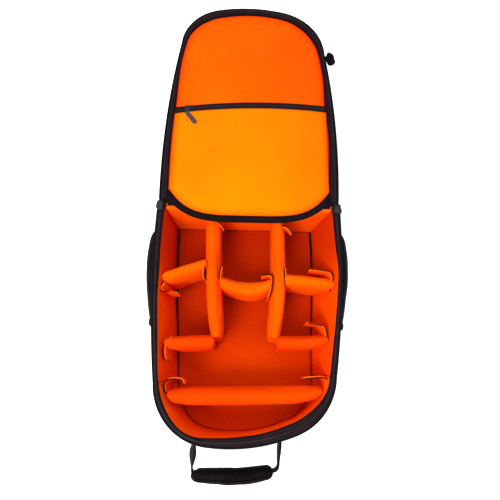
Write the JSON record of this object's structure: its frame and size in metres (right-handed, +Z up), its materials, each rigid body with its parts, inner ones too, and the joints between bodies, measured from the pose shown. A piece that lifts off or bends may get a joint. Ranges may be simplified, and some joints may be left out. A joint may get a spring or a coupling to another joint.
{
  "type": "camera backpack",
  "caption": "Open camera backpack on its back: padded compartment with movable dividers, zipped lid turned over, side pockets, carrying handle and plain shoulder harness.",
  "frame": {"origin": "middle of the underside, on the surface that the pack lies on", "axes": "+Y from the carrying handle towards the far end of the open lid, +Z up out of the open compartment, +X to the right seen from the handle"},
  "size_m": [0.3214, 0.7888, 0.1237],
  "materials": {
    "nylon": "coated woven nylon",
    "zip_tape": "zip tape with nylon coil",
    "binding": "folded woven binding",
    "webbing": "woven webbing",
    "mesh": "padded air mesh",
    "plastic": "moulded, satin",
    "slider": "satin black",
    "floor_lining": "brushed nylon lining",
    "wall_lining": "brushed nylon lining",
    "divider_lining": "brushed nylon lining",
    "pocket_lining": "smooth woven nylon",
    "lid_lining": "smooth woven nylon"
  },
  "bodies": {
    "root": {"body_shell": "nylon", "lid_shell": "nylon", "hinge_gusset": "nylon", "side_pocket_left": "nylon", "side_pocket_right": "nylon", "handle_grip": "nylon", "shoulder_strap_left": "nylon", "shoulder_strap_right": "nylon", "main_zip_body": "zip_tape", "main_zip_lid": "zip_tape", "lid_pocket_zip": "zip_tape", "front_pocket_zip": "zip_tape", "lid_binding": "binding", "side_pocket_hem_left": "binding", "side_pocket_hem_right": "binding", "handle_webbing": "webbing", "strap_webbing_left": "webbing", "strap_webbing_right": "webbing", "back_panel": "mesh", "lumbar_pad": "mesh", "strap_buckle_left": "plastic", "strap_buckle_right": "plastic", "lid_pocket_pull": "plastic", "front_pocket_pull": "plastic", "main_zip_slider_left": "slider", "main_zip_slider_right": "slider", "lid_pocket_slider": "slider", "floor_pad": "floor_lining", "lid_pocket_panel": "pocket_lining", "lid_pad": "lid_lining", "wall_pad_left": "wall_lining", "wall_pad_right": "wall_lining", "wall_pad_end": "wall_lining", "wall_pad_base": "wall_lining", "divider_long_left": "divider_lining", "divider_long_right": "divider_lining", "divider_cross_upper_left": "divider_lining", "divider_cross_centre": "divider_lining", "divider_cross_upper_right": "divider_lining", "divider_cross_lower_left": "divider_lining", "divider_cross_lower_right": "divider_lining", "divider_full_width": "divider_lining"}
  },
  "joints": []
}
